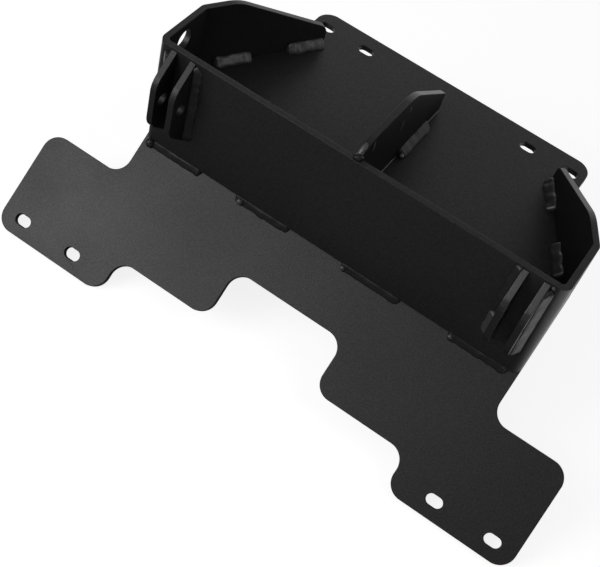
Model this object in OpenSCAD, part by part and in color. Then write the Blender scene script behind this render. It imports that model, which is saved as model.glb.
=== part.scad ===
// Plow mounting plate: a bent base plate, a folded upright channel welded on it, two pairs of
// pin ears on the channel's front and a gusset behind it.
// X runs across the plate, Y towards its rear edge and Z up, away from the mounting face.
// The origin lies on the underside of the rear plate, midway between the rear slots.

/* [Base plate] */
// Thickness of the plate
plate_t = 6; // [4:0.5:10]
// Angle by which the front of the plate is bent down
bend_angle = 40; // [20:1:50]
// Inner radius of the plate's bend
bend_r = 6; // [3:0.5:12]
// Distance from the bend to the rear edge
rear_l = 158; // [130:1:200]
// Width of the rear plate at its rear edge
rear_w = 303; // [270:1:340]
// Radius of the rear corners
rear_corner_r = 15; // [5:1:30]

/* [Tongues] */
// Overall width over both tongues
tongues_w = 560; // [500:1:640]
// Distance from the bend down to the tongues' back edges
tongue_back = 122.5; // [105:0.5:140]
// Length of a tongue along the slope
tongue_l = 101.5; // [80:0.5:130]
// Width of a tongue's front edge
tongue_front_w = 123; // [95:1:150]
// How far a tongue's front stands ahead of the step beside it
step_l = 36.5; // [20:0.5:50]
// Width of the cut-out between the two steps
cutout_w = 117; // [80:1:160]
// Depth of that cut-out behind the steps
cutout_l = 51; // [30:1:60]
// Radius of the corners and fillets round the tongues
tongue_corner_r = 16; // [5:1:18]

/* [Slots] */
// Width of each slot
slot_w = 10.5; // [8:0.5:14]
// Length of each slot from end to end
slot_l = 16; // [14.5:0.5:24]
// Distance of the front slots from the tongue's front edge
front_slot_edge = 16; // [12:0.5:30]
// Distance of the outer front slots from the tongue's side
front_slot_side = 23; // [18:0.5:35]
// Distance between the two slots of a tongue
front_slot_pitch = 58.5; // [35:0.5:65]
// Distance of the rear slots from the rear edge
rear_slot_edge = 21; // [14:0.5:40]
// Distance between the two outer rear slots
rear_outer_pitch = 273; // [240:1:276]
// Distance between the two inner rear slots
rear_inner_pitch = 182; // [120:1:220]

/* [Channel] */
// Thickness of the channel's sheet
channel_t = 6; // [4:0.5:8]
// Width over the channel's sides
channel_w = 399; // [360:1:440]
// Height of the channel's top above the rear plate
channel_h = 68; // [50:1:90]
// Distance from the plate's bend forward to the channel's front face
panel_reach = 63.5; // [45:0.5:80]
// Inner radius of the channel's four bends
channel_bend_r = 3; // [1.5:0.5:8]
// The front panel's lower edge is cut square: this much of it, along its rear face, rests on the slope
panel_rest = 0.5; // [0.2:0.1:4]
// Angle by which the rear wings turn inwards
wing_angle = 30; // [15:1:40]
// Length of a wing from its bend to its rear end
wing_l = 135; // [100:1:150]
// Length of the level part of a wing's top
wing_level_l = 35; // [20:1:60]
// Height of a wing's rear end
wing_end_h = 20; // [14:0.5:45]
// Radius of a wing's upper rear corner
wing_end_r = 12; // [4:0.5:16]
// Radius where a wing's top starts to fall
wing_top_r = 45; // [4:1:60]
// Diameter of the round hole in each side
side_hole_d = 20; // [10:0.5:28]
// Distance of that hole behind the channel's front face
side_hole_back = 33; // [22:0.5:50]
// Distance of that hole below the channel's top
side_hole_drop = 18; // [16:0.5:35]

/* [Ears] */
// Thickness of an ear
ear_t = 6; // [4:0.5:8]
// Height of an ear where it meets the channel
ear_h = 92; // [78:1:100]
// How far an ear stands out from the channel
ear_reach = 25; // [22:0.5:35]
// Height of an ear's straight nose before its corners are rounded
ear_nose_h = 48; // [40:1:60]
// Radius of an ear's two nose corners
ear_nose_r = 20; // [6:1:24]
// Distance of an ear's top below the channel's top
ear_drop = 2; // [1:0.5:12]
// Clear gap between the two ears of a pair
ear_gap = 13.5; // [8:0.5:20]
// Distance of the middle of each pair from the channel's side
ear_pair_side = 27.5; // [24:0.5:80]
// Diameter of the pin hole through each pair
pin_d = 13; // [8:0.5:18]
// Distance of the pin hole from the channel's front face
pin_reach = 13; // [11:0.5:15]

/* [Gusset] */
// Thickness of the gusset
gusset_t = 6; // [4:0.5:10]
// Height of the gusset's crest above the channel's top
gusset_rise = 10; // [4:0.5:20]
// Length of the ramp from the channel's top up to the crest
gusset_ramp_l = 18; // [10:0.5:30]
// Height of the gusset's steep toe, where the ramp starts
gusset_toe_h = 5; // [3:0.5:8]
// Length of that toe
gusset_toe_l = 3.5; // [2:0.5:6]
// Radius between the toe and the ramp
gusset_toe_r = 6; // [2:0.5:8]
// Distance from the plate's bend back to where the crest starts to fall
gusset_crest_back = 32; // [10:1:45]
// Radius between the crest and the slope behind it
gusset_crest_r = 50; // [10:1:55]
// Distance from the plate's bend back to the gusset's rear end
gusset_back = 118; // [100:1:130]
// Height of the gusset's rear end
gusset_end_h = 21.5; // [12:0.5:35]

/* [Welds] */
// Leg of the beads inside the wings and along the gusset
bead_leg = 8; // [5:0.5:9]
// How far the stitch beads along the channel's foot reach down the slope ahead of the channel
foot_bead_toe = 3; // [2:0.5:6]
// How far those beads climb up the channel's front face
foot_bead_rise = 1.5; // [1:0.5:4]
// Leg of the bead along each inner ear
inner_ear_bead_leg = 6; // [4:0.5:9]
// Leg of the bead along each outer ear, where there is less room
outer_ear_bead_leg = 5.5; // [4:0.5:6]
// Bulge of a bead's face: its centre of curvature lies this share of the leg behind the corner
bead_bulge = 0.75; // [0.4:0.05:1.2]
// Length of the stitch beads along the channel's foot; the outer two end at the channel's corners
foot_bead_l = 58; // [40:1:65]
// Distance of the inner pair of foot beads from their own middle
foot_bead_inner_x = 59; // [45:1:80]
// How far the inner pair lies to the left of the plate's middle
foot_bead_shift = 8; // [0:0.5:10]
// Length of each bead inside a wing's foot
wing_bead_l = 41; // [25:1:50]
// Distance of a wing's first bead from the wing's bend; the second ends at the wing's end
wing_bead_start = 17; // [10:1:30]
// Length of the bead along each side of the gusset's foot
gusset_bead_l = 53; // [30:1:70]
// Distance from the plate's bend back to the start of that bead
gusset_bead_back = 38; // [20:1:44]
// Distance of an ear's bead from the ear's top and bottom corners
ear_bead_inset = 3; // [1:0.5:12]
// Radius of the weld lump on the channel's top at the gusset's toe
lump_r = 6.5; // [5:0.5:9]

/* [Hidden] */
$fn = 64;

BLACK = [0.09, 0.09, 0.095];
WELD_BLACK = [0.14, 0.14, 0.145];
// Overcut that keeps a cutting shape clear of the face it cuts through
over = 2;
// How far a rounding arc passes over the two lines that it joins, so that it cuts both cleanly
crossing = 0.01;
// Width of the strips that give the plate its straight sides between the bend and the tongues
strip = 24;
// Depth of the block that stands for everything under the plate's top surface
below = 260;

// Places in Y and Z of the plate's bend, where its two top surfaces would meet.
// At the bend the plate is as wide as the channel.
bend_y = rear_slot_edge - rear_l;
plate_top = plate_t;
bend_outer_r = bend_r + plate_t;
bend_setback = bend_outer_r * tan(bend_angle / 2);

// Places of the channel
channel_top = plate_top + channel_h;
panel_y = bend_y - panel_reach;
panel_foot_z = plate_top - panel_reach * tan(bend_angle);
panel_root_y = panel_y + channel_t - panel_rest;
panel_bottom = plate_top - (bend_y - panel_root_y) * tan(bend_angle);
channel_outer_r = channel_bend_r + channel_t;

// Places of the tongues along the slope, measured from the bend
tongue_front = tongue_back + tongue_l;
step_front = tongue_front - step_l;
cutout_back = step_front - cutout_l;
tongue_inner_x = tongues_w / 2 - tongue_front_w;
front_slot_x = tongues_w / 2 - front_slot_side;

// Places of the ears
ear_top = channel_top - ear_drop;
ear_mid_z = ear_top - ear_h / 2;
ear_pair_x = channel_w / 2 - ear_pair_side;
ear_inner_x = ear_pair_x - ear_gap / 2 - ear_t;
ear_outer_x = ear_pair_x + ear_gap / 2;

// Waste or filling between a sharp corner at p and an arc of radius r, where the corner's two
// edges leave p at the angles a and b
module corner(p, a, b, r) {
    half = (b - a) / 2;
    inside = r - crossing;
    reach = inside / tan(half);
    centre = p + inside / sin(half) * [cos(a + half), sin(a + half)];
    on_a = p + reach * [cos(a), sin(a)];
    on_b = p + reach * [cos(b), sin(b)];
    tip = p - over / sin(half) * [cos(a + half), sin(a + half)];
    difference() {
        polygon([tip, on_a + over * [sin(a), -cos(a)], on_a, centre, on_b, on_b + over * [-sin(b), cos(b)]]);
        translate(centre) circle(r);
    }
}

// A slot's plan, running along X
module slot_plan() {
    square([slot_l - slot_w, slot_w], center = true);
    for (side = [-1, 1])
        translate([side * (slot_l - slot_w) / 2, 0]) circle(d = slot_w);
}

// Moves a flat shape or solid onto the sloped front plate: Y then runs up the slope to the bend
module on_slope() {
    translate([0, bend_y, plate_top]) rotate([bend_angle, 0, 0]) children();
}

// Everything on the left is a mirror image of the right
module both_sides() {
    children();
    mirror([1, 0, 0]) children();
}

// A closed outline from its right half, which is listed from the top down
function with_mirror(half) = concat(half, [for (i = [len(half) - 1:-1:0]) [-half[i][0], half[i][1]]]);

// Plan of the sloped front plate, as far back as the bend, without its straight sides
module front_plan() {
    inner_x = (channel_w - strip) / 2;
    half = [[inner_x, 0], [inner_x, -tongue_back], [tongues_w / 2, -tongue_back],
            [tongues_w / 2, -tongue_front], [tongue_inner_x, -tongue_front],
            [tongue_inner_x, -step_front], [cutout_w / 2, -step_front], [cutout_w / 2, -cutout_back]];
    difference() {
        union() {
            polygon(with_mirror(half));
            both_sides() {
                corner([channel_w / 2, -tongue_back], 0, 90, tongue_corner_r);
                corner([tongue_inner_x, -step_front], 180, 270, tongue_corner_r);
                corner([cutout_w / 2, -cutout_back], 180, 270, tongue_corner_r);
            }
        }
        both_sides() {
            corner([tongues_w / 2, -tongue_back], 180, 270, tongue_corner_r);
            corner([tongues_w / 2, -tongue_front], 90, 180, tongue_corner_r);
            corner([tongue_inner_x, -tongue_front], 0, 90, tongue_corner_r);
            corner([cutout_w / 2, -step_front], 0, 90, tongue_corner_r);
            for (x = [front_slot_x, front_slot_x - front_slot_pitch])
                translate([x, front_slot_edge - tongue_front]) slot_plan();
        }
    }
}

// Plan of the level rear plate, whose sides follow the wings to the rear width, of the bend and
// of the straight sides down to the tongues
module rear_plan() {
    taper_l = (channel_w - rear_w) / 2 / tan(wing_angle);
    sides_y = bend_y - (tongue_back + over) * cos(bend_angle);
    half = [[rear_w / 2, rear_slot_edge], [rear_w / 2, bend_y + taper_l],
            [channel_w / 2, bend_y + bend_setback], [channel_w / 2, sides_y],
            [channel_w / 2 - strip, sides_y], [channel_w / 2 - strip, bend_y - bend_outer_r]];
    difference() {
        polygon(with_mirror(half));
        both_sides() {
            corner([rear_w / 2, rear_slot_edge], 180, 270, rear_corner_r);
            for (x = [rear_outer_pitch, rear_inner_pitch] / 2)
                translate([x, 0]) slot_plan();
        }
    }
}

// Side view of the bent plate: X runs to the rear, Y is the height
module plate_profile() {
    down = [cos(bend_angle), sin(bend_angle)];
    top = [bend_y, plate_top];
    bottom = [bend_y + plate_t * tan(bend_angle / 2), 0];
    end = top - (tongue_front + over) * down;
    difference() {
        union() {
            polygon([[rear_slot_edge + over, plate_top], top, end, end + plate_t * [down[1], -down[0]],
                     bottom, [rear_slot_edge + over, 0]]);
            corner(bottom, 180 + bend_angle, 360, bend_r);
        }
        corner(top, 180 + bend_angle, 360, bend_outer_r);
    }
}

module base_plate() {
    color(BLACK) intersection() {
        translate([-tongues_w, 0, 0]) rotate([90, 0, 90]) linear_extrude(2 * tongues_w) plate_profile();
        union() {
            translate([0, 0, -below]) linear_extrude(2 * below) rear_plan();
            on_slope() translate([0, 0, -2 * plate_t]) linear_extrude(3 * plate_t) front_plan();
        }
    }
}

// Everything under the plate's top surface, as a cutter for what stands on the plate
module below_plate() {
    w = channel_w + 2 * below;
    inside = bend_outer_r - crossing;
    setback = inside * tan(bend_angle / 2);
    translate([-w / 2, bend_y + setback, plate_top - below]) cube([w, below, below]);
    translate([-w / 2, bend_y + setback, plate_top - inside])
        rotate([0, 90, 0]) cylinder(h = w, r = bend_outer_r);
    on_slope() translate([-w / 2, -below - setback, -below]) cube([w, below, below]);
}

// Plan of the folded channel: front panel, sides and wings, with its four bends
module channel_plan() {
    front = [channel_w / 2, panel_y];
    bend = [channel_w / 2, bend_y];
    end = bend + wing_l * [-sin(wing_angle), cos(wing_angle)];
    end_inner = end - channel_t * [cos(wing_angle), sin(wing_angle)];
    bend_inner = bend - channel_t * [1, tan(wing_angle / 2)];
    front_inner = front + channel_t * [-1, 1];
    half = [front, bend, end, end_inner, bend_inner, front_inner];
    difference() {
        union() {
            polygon(with_mirror(half));
            both_sides() {
                corner(front_inner, 90, 180, channel_bend_r);
                corner(bend_inner, 90 + wing_angle, 270, channel_bend_r);
            }
        }
        both_sides() {
            corner(front, 90, 180, channel_outer_r);
            corner(bend, 90 + wing_angle, 270, channel_outer_r);
        }
    }
}

// What is cut off above a wing: X runs along the wing from its bend, Y is the height
module above_wing() {
    fall = atan((channel_h - wing_end_h) / (wing_l - wing_level_l));
    past = wing_l + over;
    union() {
        polygon([[wing_level_l, channel_top], [past, channel_top - (past - wing_level_l) * tan(fall)],
                 [past, channel_top + over], [wing_level_l, channel_top + over]]);
        corner([wing_level_l, channel_top], 180, 360 - fall, wing_top_r);
        corner([wing_l, plate_top + wing_end_h], 180 - fall, 270, wing_end_r);
    }
}

// Places a shape in a wing's own frame: X along its outer face from the bend, Y inwards, Z up
module on_wing() {
    translate([channel_w / 2, bend_y, 0]) rotate([0, 0, 90 + wing_angle]) children();
}

module push_channel() {
    color(BLACK) difference() {
        translate([0, 0, panel_bottom]) linear_extrude(channel_top - panel_bottom) channel_plan();
        below_plate();
        both_sides() {
            on_wing() translate([0, channel_t + over, 0]) rotate([90, 0, 0])
                linear_extrude(channel_t + 2 * over) above_wing();
            translate([channel_w / 2 + over, panel_y + side_hole_back, channel_top - side_hole_drop])
                rotate([0, -90, 0]) cylinder(h = channel_t + 2 * over, d = side_hole_d);
        }
    }
}

// An ear's elevation: X runs forward from the channel, Y is the height from the ear's middle
module ear_elevation() {
    slope = atan(((ear_h - ear_nose_h) / 2) / ear_reach);
    difference() {
        polygon([[0, -ear_h / 2], [ear_reach, -ear_nose_h / 2], [ear_reach, ear_nose_h / 2], [0, ear_h / 2]]);
        corner([ear_reach, ear_nose_h / 2], 180 - slope, 270, ear_nose_r);
        corner([ear_reach, -ear_nose_h / 2], 90, 180 + slope, ear_nose_r);
    }
}

// One ear, with its inner face at x and its root on the channel's front face
module ear(x) {
    color(BLACK) difference() {
        translate([x + ear_t, panel_y, ear_mid_z]) rotate([90, 0, -90])
            linear_extrude(ear_t) ear_elevation();
        translate([x - over, panel_y - pin_reach, ear_mid_z])
            rotate([0, 90, 0]) cylinder(h = ear_t + 2 * over, d = pin_d);
    }
}

module left_outer_ear() {
    ear(-ear_outer_x - ear_t);
}

module left_inner_ear() {
    ear(-ear_inner_x - ear_t);
}

module right_inner_ear() {
    ear(ear_inner_x);
}

module right_outer_ear() {
    ear(ear_outer_x);
}

// The gusset's elevation: X runs to the rear, Y is the height
module gusset_elevation() {
    front = panel_y + channel_t;
    crest = channel_top + gusset_rise;
    crest_y = bend_y + gusset_crest_back;
    end_y = bend_y + gusset_back;
    toe = [front + gusset_toe_l, channel_top + gusset_toe_h];
    ramp = [front + gusset_ramp_l, crest];
    fall = atan((crest - plate_top - gusset_end_h) / (end_y - crest_y));
    bottom = panel_foot_z;
    toe_rise = atan(gusset_toe_h / gusset_toe_l);
    ramp_rise = atan((ramp[1] - toe[1]) / (ramp[0] - toe[0]));
    difference() {
        polygon([[front, bottom], [end_y, bottom], [end_y, plate_top + gusset_end_h],
                 [crest_y, crest], ramp, toe, [front, channel_top]]);
        corner([crest_y, crest], 180, 360 - fall, gusset_crest_r);
        corner(toe, toe_rise - 180, ramp_rise, gusset_toe_r);
    }
}

module centre_gusset() {
    color(BLACK) difference() {
        translate([-gusset_t / 2, 0, 0]) rotate([90, 0, 90])
            linear_extrude(gusset_t) gusset_elevation();
        below_plate();
    }
}

// A fillet bead along X in a corner whose faces lie at 0 and at the given angle about X.
// Its face is a cylinder with round ends, so it runs out smoothly into both faces.
module bead(length, leg, angle) {
    inward = [cos(angle / 2), sin(angle / 2)];
    sunk = bead_bulge * leg;
    r = norm([leg * inward[0] + sunk, leg * inward[1]]);
    run_out = sqrt(r * r - sunk * sunk);
    far = 2 * leg;
    intersection() {
        rotate([90, 0, 90]) linear_extrude(length)
            polygon([[0, 0], [far, 0], 1.5 * far * inward, far * [cos(angle), sin(angle)]]);
        translate([0, -sunk * inward[0], -sunk * inward[1]]) union() {
            translate([run_out, 0, 0]) rotate([0, 90, 0]) cylinder(h = length - 2 * run_out, r = r);
            for (x = [run_out, length - run_out])
                translate([x, 0, 0]) sphere(r);
        }
    }
}

// A stitch bead along X that fills the wedge under the panel's square lower edge. Its face runs from
// toe on the slope to head on the panel, and is a cylinder with round ends.
module foot_bead(length) {
    root = [panel_root_y, panel_bottom];
    down = [cos(bend_angle), sin(bend_angle)];
    toe = [panel_y, panel_foot_z] - foot_bead_toe * down;
    head = [panel_y, panel_bottom + foot_bead_rise];
    face = head - toe;
    centre = (toe + head) / 2 + bead_bulge * [face[1], -face[0]];
    r = norm(centre - toe);
    depth = (centre - root) * [down[1], -down[0]];
    run_out = sqrt(r * r - depth * depth);
    far = 4 * norm(face);
    end = root - far * down;
    intersection() {
        rotate([90, 0, 90]) linear_extrude(length)
            polygon([root, end, [end[0], panel_bottom + far], [panel_y, panel_bottom + far],
                     [panel_y, panel_bottom]]);
        translate([0, centre[0], centre[1]]) union() {
            translate([run_out, 0, 0]) rotate([0, 90, 0]) cylinder(h = length - 2 * run_out, r = r);
            for (x = [run_out, length - run_out])
                translate([x, 0, 0]) sphere(r);
        }
    }
}

// Stitch beads along the front of the channel's foot
module foot_welds() {
    inner = foot_bead_inner_x;
    outer = channel_w / 2 - channel_outer_r - foot_bead_l / 2;
    color(WELD_BLACK)
        for (x = [-outer, -inner - foot_bead_shift, inner - foot_bead_shift, outer])
            translate([x - foot_bead_l / 2, 0, 0]) foot_bead(foot_bead_l);
}

// Two beads inside the foot of each wing
module wing_welds() {
    color(WELD_BLACK) both_sides()
        for (start = [wing_bead_start, wing_l - wing_bead_l])
            on_wing() translate([start, channel_t, plate_top]) bead(wing_bead_l, bead_leg, 90);
}

// A bead up the outer face of each ear of a pair
module ear_welds() {
    length = ear_h - 2 * ear_bead_inset;
    color(WELD_BLACK) both_sides() {
        translate([ear_inner_x, panel_y, ear_mid_z - length / 2])
            rotate([90, -90, 0]) bead(length, inner_ear_bead_leg, 90);
        translate([ear_outer_x + ear_t, panel_y, ear_mid_z + length / 2])
            rotate([90, 90, 0]) bead(length, outer_ear_bead_leg, 90);
    }
}

// A bead along both sides of the gusset's foot, and a lump on the channel's top at its toe
module gusset_welds() {
    color(WELD_BLACK) {
        both_sides() translate([gusset_t / 2, bend_y + gusset_bead_back + gusset_bead_l, plate_top])
            rotate([0, 0, -90]) bead(gusset_bead_l, bead_leg, 90);
        translate([gusset_t / 2, panel_y + channel_t, channel_top]) intersection() {
            sphere(lump_r);
            translate([-over * lump_r, -2 * over * lump_r, 0]) cube(2 * over * lump_r);
        }
    }
}

base_plate();
push_channel();
left_outer_ear();
left_inner_ear();
right_inner_ear();
right_outer_ear();
centre_gusset();
foot_welds();
wing_welds();
ear_welds();
gusset_welds();
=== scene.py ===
"""Looks of the plow mounting plate: black powder-coated steel with rippled weld beads.

The CAD model stays as packed. Each steel node is shown by a copy with softly rounded edges, and each
group of weld beads by beads on the same lines, with the waves that the plain CAD beads lack.
Places and sizes are millimetres in the CAD frame, apart from those of the coats' textures, the camera,
the stage and the lamps, which are metres.
"""

import math

import bpy
import bmesh
from mathutils import Matrix, Vector, noise


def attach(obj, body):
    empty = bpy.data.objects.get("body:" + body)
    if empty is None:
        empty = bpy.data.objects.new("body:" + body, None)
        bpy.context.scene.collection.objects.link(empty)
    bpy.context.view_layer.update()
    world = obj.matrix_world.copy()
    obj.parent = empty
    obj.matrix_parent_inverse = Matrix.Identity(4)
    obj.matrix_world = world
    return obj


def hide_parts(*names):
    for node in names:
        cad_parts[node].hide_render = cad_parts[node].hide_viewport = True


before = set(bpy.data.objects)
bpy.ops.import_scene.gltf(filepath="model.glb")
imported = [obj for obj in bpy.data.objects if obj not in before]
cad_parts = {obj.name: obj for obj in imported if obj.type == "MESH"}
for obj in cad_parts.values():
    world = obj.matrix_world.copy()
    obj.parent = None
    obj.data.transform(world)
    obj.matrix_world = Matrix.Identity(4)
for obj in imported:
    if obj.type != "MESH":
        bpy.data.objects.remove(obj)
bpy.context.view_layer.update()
scene = bpy.context.scene

STEEL = ["base_plate", "push_channel", "left_outer_ear", "left_inner_ear", "right_inner_ear",
         "right_outer_ear", "centre_gusset"]
EARS = STEEL[2:6]
RIGHT_EARS = STEEL[4:6]
MM = 0.001

# Places of the CAD model: the rear plate's upper face and its bend line, the channel's front and side
# faces and the panel's lower edge, the slope under it, the pin's axis and the gusset's faces
PLATE_TOP = 6
BEND_Y = -137
PANEL_Y = -200.5
SIDE_X = 199.5
PANEL_BOTTOM = -42.668
FOOT_Z = -47.283
SLOPE = math.radians(40)
WING = math.radians(30)
CHANNEL_T = 6
PIN_Y = PANEL_Y - 13
PIN_Z = 26
PIN_AROUND = 8
GUSSET_X = 3


def link(name, mesh):
    """A new object of the scene."""
    obj = bpy.data.objects.new(name, mesh)
    scene.collection.objects.link(obj)
    return obj


def shader(name):
    """A new material, its node tree and a function that adds nodes to it."""
    mat = bpy.data.materials.new(name)
    mat.use_nodes = True
    tree = mat.node_tree
    tree.nodes.clear()

    def add(kind, **settings):
        node = tree.nodes.new(kind)
        for key, value in settings.items():
            if hasattr(node, key):
                setattr(node, key, value)
            else:
                node.inputs[key.replace("_", " ")].default_value = value
        return node

    return mat, tree, add


def powder_coat(name, colour, rough, grain, shine):
    """Satin black powder coat: a fine orange-peel texture, fine speckle and soft handling marks."""
    mat, tree, add = shader(name)
    join = tree.links.new
    place = add("ShaderNodeNewGeometry")
    fine = add("ShaderNodeTexNoise", Scale=900.0, Detail=3.0, Roughness=0.7)
    peel = add("ShaderNodeTexNoise", Scale=420.0, Detail=2.0, Roughness=0.5)
    cloud = add("ShaderNodeTexNoise", Scale=14.0, Detail=3.0, Roughness=0.55)
    for texture in (fine, peel, cloud):
        join(place.outputs["Position"], texture.inputs["Vector"])
    tint = add("ShaderNodeMapRange", From_Min=0.35, From_Max=0.75, To_Min=0.8, To_Max=1.5)
    join(fine.outputs["Fac"], tint.inputs["Value"])
    base = add("ShaderNodeVectorMath", operation="SCALE")
    base.inputs[0].default_value = colour
    join(tint.outputs["Result"], base.inputs["Scale"])
    gloss = add("ShaderNodeMapRange", From_Min=0.3, From_Max=0.7,
                To_Min=rough - 0.03, To_Max=rough + 0.03)
    join(cloud.outputs["Fac"], gloss.inputs["Value"])
    speckle = add("ShaderNodeMapRange", From_Min=0.35, From_Max=0.65,
                  To_Min=shine * 0.78, To_Max=shine * 1.22)
    join(fine.outputs["Fac"], speckle.inputs["Value"])
    bump_peel = add("ShaderNodeBump", Strength=0.25, Distance=0.0002)
    join(peel.outputs["Fac"], bump_peel.inputs["Height"])
    bump = add("ShaderNodeBump", Strength=grain, Distance=0.00012)
    join(fine.outputs["Fac"], bump.inputs["Height"])
    join(bump_peel.outputs["Normal"], bump.inputs["Normal"])
    coat = add("ShaderNodeBsdfPrincipled", Metallic=0.0, IOR=1.5)
    join(base.outputs["Vector"], coat.inputs["Base Color"])
    join(gloss.outputs["Result"], coat.inputs["Roughness"])
    join(speckle.outputs["Result"], coat.inputs["Specular IOR Level"])
    join(bump.outputs["Normal"], coat.inputs["Normal"])
    out = add("ShaderNodeOutputMaterial")
    join(coat.outputs["BSDF"], out.inputs["Surface"])
    mat.diffuse_color = (*colour, 1)
    return mat


# The coat itself, then copies of it with painted light: the lighter, shinier ones are painted
# highlights and glints, the darker or duller ones painted shade
plate_coat = powder_coat("plate_coat", (0.0085, 0.0083, 0.0085), 0.44, 0.6, 0.5)
# Painted highlight: a lighter, shinier copy of the coat for beads, bead starts, seams and the toe's cap
# where light falls
painted_lit_weld_coat = powder_coat("painted_lit_weld_coat", (0.038, 0.0375, 0.038), 0.4, 0.4, 0.8)
# Painted shade: a duller copy of the coat for faces, bores and beads that lie in shade
painted_shade_dull_coat = powder_coat("painted_shade_dull_coat", (0.009, 0.0088, 0.009), 0.48, 0.5, 0.36)
# Painted shade: a darker, duller copy of the coat for faces in shade
shade_coat = powder_coat("shade_coat", (0.004, 0.0039, 0.004), 0.5, 0.5, 0.3)
# Painted highlight: a lighter, shinier copy of the coat for upward-facing slopes
painted_slope_highlight_coat = powder_coat("painted_slope_highlight_coat", (0.02, 0.0197, 0.02), 0.36, 0.4, 0.95)
# Softer painted highlight: a lighter copy of the coat for lit faces and beads
painted_soft_light_coat = powder_coat("painted_soft_light_coat", (0.014, 0.0138, 0.014), 0.4, 0.5, 0.72)
# Painted glints: a light copy of the coat for small bumps and a bead's start
drip_coat = powder_coat("drip_coat", (0.15, 0.151, 0.15), 0.35, 0.2, 0.8)

# Rounding of the steel's edges: vertices closer than JOIN are one, faces within FLAT are one, and
# edges sharper than SHARP are rounded
JOIN = 0.02
FLAT = math.radians(0.4)
SHARP = math.radians(28)
ROUND_WIDTH = 0.55
ROUND_STEPS = 3


def finish_mesh(work, mesh):
    """Write the worked mesh back with smooth shading."""
    for face in work.faces:
        face.smooth = True
    work.to_mesh(mesh)
    work.free()


def clean_copy(node):
    """The CAD node's mesh with its vertices joined and its flat faces whole."""
    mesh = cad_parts[node].data.copy()
    work = bmesh.new()
    work.from_mesh(mesh)
    bmesh.ops.remove_doubles(work, verts=work.verts, dist=JOIN * MM)
    bmesh.ops.dissolve_limit(work, angle_limit=FLAT, verts=work.verts, edges=work.edges)
    finish_mesh(work, mesh)
    mesh.materials.clear()
    return mesh


def rounded(node):
    """A copy of a steel CAD node with its sharp edges rounded."""
    obj = link(node + "_steel", clean_copy(node))
    obj.data.materials.append(plate_coat)
    bevel = obj.modifiers.new("edges", "BEVEL")
    bevel.width = ROUND_WIDTH * MM
    bevel.segments = ROUND_STEPS
    bevel.limit_method = "ANGLE"
    bevel.angle_limit = SHARP
    bevel.use_clamp_overlap = False
    flat = obj.modifiers.new("flat_faces", "WEIGHTED_NORMAL")
    flat.mode = "FACE_AREA"
    flat.weight = 100
    flat.keep_sharp = False
    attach(obj, "root")
    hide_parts(node)
    return obj


steel = {node: rounded(node) for node in STEEL}


def recoat(node, coat, wanted):
    """Another coat for a steel copy's faces, picked by their centre in millimetres and normal."""
    mesh = steel[node].data
    mesh.materials.append(coat)
    for face in mesh.polygons:
        if wanted(face.center / MM, face.normal):
            face.material_index = len(mesh.materials) - 1


def in_pin_bore(centre, normal):
    """Whether a face of an ear lies in its pin hole."""
    away = math.hypot(centre.y - PIN_Y, centre.z - PIN_Z)
    return abs(normal.x) < 0.2 and away < PIN_AROUND


# Painted shade on the gusset's side faces
recoat("centre_gusset", shade_coat, lambda centre, normal: abs(normal.x) > 0.9)

# The channel's inner faces, with painted light: painted shade on the left side, a painted highlight on
# the left wing, then painted shade on the right side and wing
recoat("push_channel", painted_shade_dull_coat, lambda centre, normal: centre.x < 0 and normal.x > 0.97)
recoat("push_channel", painted_soft_light_coat,
       lambda centre, normal: centre.x < 0 and 0.7 < normal.x <= 0.97 and normal.y < -0.1)
recoat("push_channel", shade_coat, lambda centre, normal: centre.x > 0 and normal.x < -0.7)

# Painted highlights on the right ears' upper slopes and, softer, on the start of their curve, then
# painted shade on every ear's nose and pin bore
for node in RIGHT_EARS:
    recoat(node, painted_slope_highlight_coat, lambda centre, normal: normal.z > 0.6 and normal.y < -0.25)
    recoat(node, painted_soft_light_coat, lambda centre, normal: 0.35 < normal.z <= 0.6 and normal.y < -0.25)
for node in EARS:
    recoat(node, painted_shade_dull_coat, lambda centre, normal: abs(normal.z) <= 0.12 and normal.y < -0.8)
    recoat(node, painted_shade_dull_coat, in_pin_bore)

# A bead's mesh: the step between its rings, their least number, the strips across its face, the
# length of its round ends as a share of its width, their smallest size and the joining distance
RING_STEP = 0.4
RINGS = 16
ACROSS = 20
END_SHARE = 0.45
END_SIZE = 0.02
BEAD_JOIN = 0.0005

# Its unevenness: how fast the toes, the waves' places and the height change along it, how far a wave
# bows and strays, in waves, and how high waves and chance swellings are, as shares of the height
TOE_RATE = 0.12
STRAY_RATE = 0.06
SWELL_RATE = 0.08
WAVE_BOW = 0.25
WAVE_STRAY = 0.4
WAVE_HEIGHT = 0.18
SWELL_HEIGHT = 0.3


def weld_object(name, mesh, coat):
    """A weld piece that stays with the part."""
    mesh.materials.append(coat)
    obj = link(name, mesh)
    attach(obj, "root")
    return obj


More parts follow.
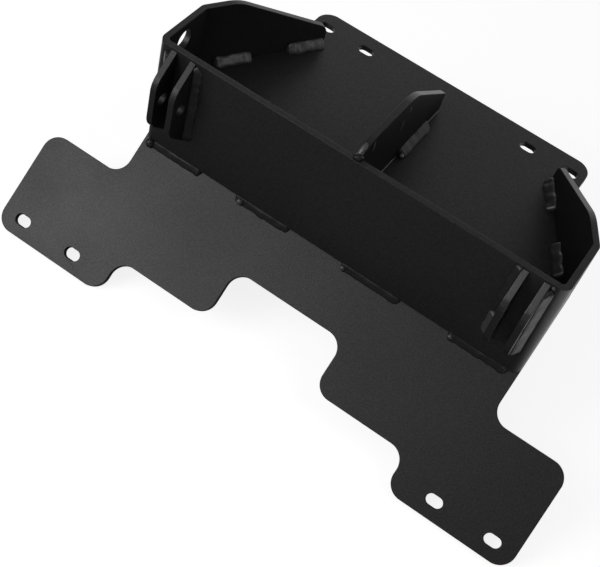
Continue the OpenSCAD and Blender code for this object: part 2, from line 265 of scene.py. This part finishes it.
def bead(name, start, end, toe_a, toe_b, root, crown, wobble, seed, pitch, coat):
    """A weld bead swept from start to end.

    Its section is a bulged face from toe_a to toe_b, closed at the root: all three are offsets from the
    line. Crown is the bulge as a share of the face's width, wobble the toes' unevenness, and pitch the
    length of a wave. The face swells in broad, shallow, curved waves and both ends are round.
    """
    start, end = Vector(start), Vector(end)
    along = (end - start).normalized()
    toe_a, toe_b, root = Vector(toe_a), Vector(toe_b), Vector(root)
    face = toe_b - toe_a
    out = face.cross(along).normalized()
    if out.dot((toe_a + toe_b) / 2 - root) < 0:
        out = -out
    length = (end - start).length
    end_l = END_SHARE * face.length
    rings = max(int(length / RING_STEP), RINGS)
    verts, faces = [], []
    for i in range(rings + 1):
        s = length * i / rings
        edge = min(s, length - s)
        size = math.sqrt(max(0.0, 1 - (1 - min(edge / end_l, 1.0)) ** 2))
        grow_a = 1 + wobble * noise.noise(Vector((s * TOE_RATE, seed, 0)))
        grow_b = 1 + wobble * noise.noise(Vector((s * TOE_RATE, seed, 9)))
        stray = WAVE_STRAY * noise.noise(Vector((s * STRAY_RATE, seed, 11)))
        for j in range(ACROSS + 1):
            t = j / ACROSS
            u = 2 * t - 1
            flat = (1 - t) * grow_a * (toe_a - root) + t * grow_b * (toe_b - root)
            wave = math.sin(2 * math.pi * (s / pitch + WAVE_BOW * (1 - u * u) + stray))
            chance = noise.noise(Vector((s * SWELL_RATE, u, seed)))
            swell = 1 + WAVE_HEIGHT * wave + SWELL_HEIGHT * chance
            lift = crown * face.length * (1 - u ** 4) * swell
            point = start + along * s + root
            verts.append((point + (flat + out * lift) * (END_SIZE + (1 - END_SIZE) * size)) * MM)
    back = len(verts)
    for i in range(rings + 1):
        verts.append((start + along * length * i / rings + root) * MM)
    row = ACROSS + 1
    for i in range(rings):
        for j in range(ACROSS):
            a = i * row + j
            faces.append((a, a + 1, a + row + 1, a + row))
        a = i * row
        faces.append((a + row, back + i + 1, back + i, a))
        faces.append((a + ACROSS, back + i, back + i + 1, a + row + ACROSS))
    for i in (0, rings):
        faces.append([i * row + j for j in range(row)] + [back + i])
    mesh = bpy.data.meshes.new(name)
    mesh.from_pydata(verts, [], faces)
    mesh.validate()
    work = bmesh.new()
    work.from_mesh(mesh)
    bmesh.ops.remove_doubles(work, verts=work.verts, dist=BEAD_JOIN * MM)
    bmesh.ops.recalc_face_normals(work, faces=work.faces)
    finish_mesh(work, mesh)
    return weld_object(name, mesh, coat)


def lump(name, centre, radii, coat, rough=0.0, tilt=0):
    """A rounded drop: an ellipsoid, tilted about X, whose surface may be slightly uneven."""
    mesh = bpy.data.meshes.new(name)
    work = bmesh.new()
    bmesh.ops.create_icosphere(work, subdivisions=4, radius=1)
    turn = Matrix.Rotation(math.radians(tilt), 3, "X")
    for vert in work.verts:
        size = 1 + rough * noise.noise(vert.co * 1.7)
        offset = Vector([vert.co[k] * size * radii[k] for k in range(3)])
        vert.co = (Vector(centre) + turn @ offset) * MM
    finish_mesh(work, mesh)
    return weld_object(name, mesh, coat)


# Stitch beads under the panel's square foot: from x to x, and their round starts' places, radii and
# coats. The first start is the ball at the panel's left corner. The toe lies FOOT_REACH down the slope
FOOT_BEADS = [(-190, -134.5, (-191.5, -201.4, -45.6), 4.8, plate_coat),
              (-96.5, -37, (-89.4, -202.2, -45.6), 3.6, painted_lit_weld_coat),
              (18.5, 81, (22.3, -202.2, -45.6), 2.8, painted_lit_weld_coat),
              (130, 190.5, (134, -201.8, -45), 2.7, painted_lit_weld_coat)]
FOOT_REACH = 2.7
FOOT_ROOT = (0, 5.4, 0.05)
toe = (0, -FOOT_REACH * math.cos(SLOPE), FOOT_Z - PANEL_BOTTOM - FOOT_REACH * math.sin(SLOPE))
# The beads are in the duller coat, painted shade; the starts after the first ball are in the lighter
# weld coat, painted highlights
for i, (x0, x1, place, radius, start_coat) in enumerate(FOOT_BEADS):
    bead("foot_bead_%d" % i, (x0, PANEL_Y, PANEL_BOTTOM), (x1, PANEL_Y, PANEL_BOTTOM),
                     toe_a=toe, toe_b=(0, 0, 1), root=FOOT_ROOT, crown=0.08, wobble=0.12,
                     seed=10 + i, pitch=30, coat=painted_shade_dull_coat)
    lump("foot_start_%d" % i, place, (radius, 0.95 * radius, radius), start_coat, rough=0.06)
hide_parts("foot_welds")

# Fillets on the rear plate: how far they reach along the plate and up the steel that they join to it
LEG_OUT = 7.8
LEG_UP = (0, 0, 8)

# Two beads inside each wing: how far along the wing they begin and end
WING_BEADS = [(16.5, 57), (94, 134.5)]
# The beads are painted lighter where light falls on them: painted highlights, softer on the right wing
# than on the left
for side, label, coat in ((1, "right", painted_soft_light_coat), (-1, "left", painted_lit_weld_coat)):
    inward = Vector((-side * math.cos(WING), -math.sin(WING), 0))
    run = Vector((-side * math.sin(WING), math.cos(WING), 0))
    line = Vector((side * SIDE_X, BEND_Y, PLATE_TOP)) + inward * CHANNEL_T
    for k, (s0, s1) in enumerate(WING_BEADS):
        bead("wing_bead_%s_%d" % (label, k), line + run * s0, line + run * s1,
                         toe_a=inward * LEG_OUT, toe_b=LEG_UP, root=(0, 0, 0), crown=0.08, wobble=0.2,
                         seed=20 + 4 * side + k, pitch=13, coat=coat)
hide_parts("wing_welds")

# Beads up the outer face of each ear: x, the side that they face, the heights of their ends, how far
# they reach along the panel and out along the ear, wobble and coat
EAR_BEADS = [("right_outer", 184.75, 1, 69.2, -17.5, 6, 10.4, 0.08, plate_coat),
             ("right_inner_top", 159.25, -1, 73.4, 28, 7.5, 3.4, 0.2, plate_coat),
             ("right_inner_low", 159.25, -1, 12, -17, 7, 4.5, 0.2, painted_lit_weld_coat),
             ("left_inner", -159.25, 1, 69.5, -17.5, 8.2, 3.4, 0.2, plate_coat),
             ("left_outer", -184.75, -1, 69.5, -17.5, 6.3, 6.3, 0.08, plate_coat)]
# The lower bead on the right inner ear is in the lighter weld coat, a painted highlight
for k, (label, x, out, top, low, on_panel, on_ear, wobble, coat) in enumerate(EAR_BEADS):
    bead("ear_bead_" + label, (x, PANEL_Y, top), (x, PANEL_Y, low),
                     toe_a=(out * on_panel, 0, 0), toe_b=(0, -on_ear, 0), root=(0, 0, 0), crown=0.09,
                     wobble=wobble, seed=40 + k, pitch=24, coat=coat)
# Round starts of two ear beads in the lighter weld coat, painted highlights
lump("ear_start_right", (187.4, PANEL_Y - 1.4, 72), (1.6, 1.5, 1.6), painted_lit_weld_coat)
lump("ear_start_left", (-157, PANEL_Y - 0.8, 68.2), (1.8, 1.5, 1.8), painted_lit_weld_coat)
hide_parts("ear_welds")

# A bead on each side of the gusset, and the coat's fine fillet along the rest of its foot: the y of
# their ends, and the fillet's legs
GUSSET_BEAD = (-101.5, -46)
GUSSET_SEAMS = [(-132, -98), (-48, -19.5)]
SEAM_LEG = 0.7
for side, label in ((1, "right"), (-1, "left")):
    x = side * GUSSET_X
    y0, y1 = GUSSET_BEAD
    bead("gusset_bead_" + label, (x, y0, PLATE_TOP), (x, y1, PLATE_TOP),
                       toe_a=(side * LEG_OUT, 0, 0), toe_b=LEG_UP, root=(0, 0, 0), crown=0.06,
                       wobble=0.08, seed=60 + side, pitch=30, coat=plate_coat)
    # The fine fillet is in the lighter weld coat, a painted highlight along the gusset's foot
    for k, (y0, y1) in enumerate(GUSSET_SEAMS):
        bead("gusset_seam_%s_%d" % (label, k), (x, y0, PLATE_TOP), (x, y1, PLATE_TOP),
             toe_a=(side * SEAM_LEG, 0, 0), toe_b=(0, 0, SEAM_LEG), root=(0, 0, 0), crown=0.02,
             wobble=0, seed=70 + k, pitch=11, coat=painted_lit_weld_coat)
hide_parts("gusset_welds")

# The round start of its right bead in the light glint coat, a painted highlight, and the lump where the
# gusset's toe meets the channel's top edge in the duller coat, painted shade, with its cap in the
# lighter weld coat, a painted highlight
lump("gusset_start", (7.4, -99.8, 8.2), (2.3, 2.2, 2), drip_coat)
lump("toe_lump", (0.6, -195.6, 74.9), (4.4, 3.4, 2.7), painted_shade_dull_coat, rough=0.12)
lump("toe_cap", (0, -189.4, 78.3), (3.2, 6.6, 1.9), painted_lit_weld_coat, rough=0.04, tilt=44)

# Small upright bumps on the gusset's right face in the light glint coat, painted glints: y, z and half
# their length
GLINT_BUMPS = [(-174.5, 73.5, 6), (-117.8, 56, 6.5), (-110.9, 70.4, 3)]
for k, (y, z, half) in enumerate(GLINT_BUMPS):
    lump("drip_%d" % k, (GUSSET_X, y, z), (1, 1.2, half), drip_coat)

# Camera, solved from the photograph: where it stands, its own three directions and its lens
EYE = Vector((0.215761, -0.859924, 0.749399))
RIGHT = Vector((0.8180193, 0.5392959, 0.2000109))
DOWN = Vector((0.5368047, -0.5908842, -0.602243))
FORWARD = Vector((-0.2066039, 0.6000132, -0.7728512))
LENS = 71.67
SENSOR = 36.0

camera = bpy.data.objects.new("camera", bpy.data.cameras.new("camera"))
scene.collection.objects.link(camera)
camera.data.sensor_fit = "HORIZONTAL"
camera.data.sensor_width = SENSOR
camera.data.lens = LENS
camera.data.clip_start = 0.05
camera.data.clip_end = 40
camera.matrix_world = Matrix.Translation(EYE) @ Matrix((RIGHT, -DOWN, -FORWARD)).transposed().to_4x4()
scene.camera = camera

# The stage's white: its own brightness to the camera, and the grey paper that keeps the shadow
GLOW = 0.85
ALBEDO = 0.4


def white_stage(name, sheets, mirrored):
    """White sheets that are plain white to the camera and keep the object's shadow.

    Mirrored sheets are plain white in the object's reflections too.
    """
    mat, tree, add = shader(name)
    join = tree.links.new
    path = add("ShaderNodeLightPath")
    seen = add("ShaderNodeMath", operation="ADD", use_clamp=True)
    join(path.outputs["Is Camera Ray"], seen.inputs[0])
    join(path.outputs["Is Transmission Ray"], seen.inputs[1])
    if mirrored:
        also = add("ShaderNodeMath", operation="ADD", use_clamp=True)
        join(seen.outputs["Value"], also.inputs[0])
        join(path.outputs["Is Glossy Ray"], also.inputs[1])
        seen = also
    level = add("ShaderNodeMath", operation="MULTIPLY")
    level.inputs[1].default_value = GLOW
    join(seen.outputs["Value"], level.inputs[0])
    white = add("ShaderNodeEmission")
    join(level.outputs["Value"], white.inputs["Strength"])
    paper = add("ShaderNodeBsdfDiffuse")
    paper.inputs["Color"].default_value = (ALBEDO, ALBEDO, ALBEDO, 1)
    both = add("ShaderNodeAddShader")
    join(white.outputs["Emission"], both.inputs[0])
    join(paper.outputs["BSDF"], both.inputs[1])
    out = add("ShaderNodeOutputMaterial")
    join(both.outputs["Shader"], out.inputs["Surface"])
    mat.cycles.emission_sampling = "NONE"
    mesh = bpy.data.meshes.new(name)
    corners = [corner for sheet in sheets for corner in sheet]
    mesh.from_pydata(corners, [], [tuple(range(4 * k, 4 * k + 4)) for k in range(len(sheets))])
    mesh.materials.append(mat)
    link(name, mesh)


def level_sheet(x0, y0, x1, y1, z):
    return ((x0, y0, z), (x1, y0, z), (x1, y1, z), (x0, y1, z))


# A white sweep with a backdrop, which the object mirrors. Just above it lies the floor in front of the
# object and under it, which its dark faces don't mirror
FLOOR_Z = -0.1429
SWEEP_BELOW = 0.0002
STAGE_REACH = 4
BACKDROP_Y = 3
BACKDROP_TOP = 2.2
sweep_floor = level_sheet(-STAGE_REACH, -STAGE_REACH, STAGE_REACH, BACKDROP_Y, FLOOR_Z - SWEEP_BELOW)
backdrop = ((-STAGE_REACH, BACKDROP_Y, FLOOR_Z), (STAGE_REACH, BACKDROP_Y, FLOOR_Z),
            (STAGE_REACH, BACKDROP_Y, BACKDROP_TOP), (-STAGE_REACH, BACKDROP_Y, BACKDROP_TOP))
front_floor = level_sheet(-STAGE_REACH, -STAGE_REACH, 0.286, -0.15, FLOOR_Z)
under_floor = level_sheet(-0.2, -0.15, 0.2, 0.04, FLOOR_Z)
white_stage("sweep", [sweep_floor, backdrop], mirrored=True)
white_stage("floor", [front_floor, under_floor], mirrored=False)

# The world is white to the camera and gives no light
world = bpy.data.worlds.new("studio")
scene.world = world
world.use_nodes = True
tree = world.node_tree
path = tree.nodes.new("ShaderNodeLightPath")
back = tree.nodes["Background"]
back.inputs["Color"].default_value = (1, 1, 1, 1)
tree.links.new(path.outputs["Is Camera Ray"], back.inputs["Strength"])

# Soft square lamps round the object: direction and height in degrees, and share of LAMP_WATTS
LAMPS = [(324, 25, 0.26), (90, 50, 0.085), (315, 50, 0.05), (0, 50, 0.049), (225, 50, 0.009),
         (216, 25, 0.015), (180, 50, 0.011), (240, 78, 0.025)]
LAMP_WATTS = 60
LAMP_SIZE = 1.1
LAMP_DISTANCE = 2.0
LAMP_AIM = Vector((0, -0.13, 0))
for azimuth, height, share in LAMPS:
    azimuth, height = math.radians(azimuth), math.radians(height)
    away = Vector((math.sin(azimuth) * math.cos(height), -math.cos(azimuth) * math.cos(height),
                   math.sin(height)))
    lamp = bpy.data.lights.new("soft_box", "AREA")
    lamp.shape = "SQUARE"
    lamp.size = LAMP_SIZE
    lamp.energy = LAMP_WATTS * share
    box = bpy.data.objects.new("soft_box", lamp)
    scene.collection.objects.link(box)
    box.location = LAMP_AIM + away * LAMP_DISTANCE
    box.rotation_mode = "QUATERNION"
    box.rotation_quaternion = away.to_track_quat("Z", "Y")

scene.view_settings.view_transform = "Standard"
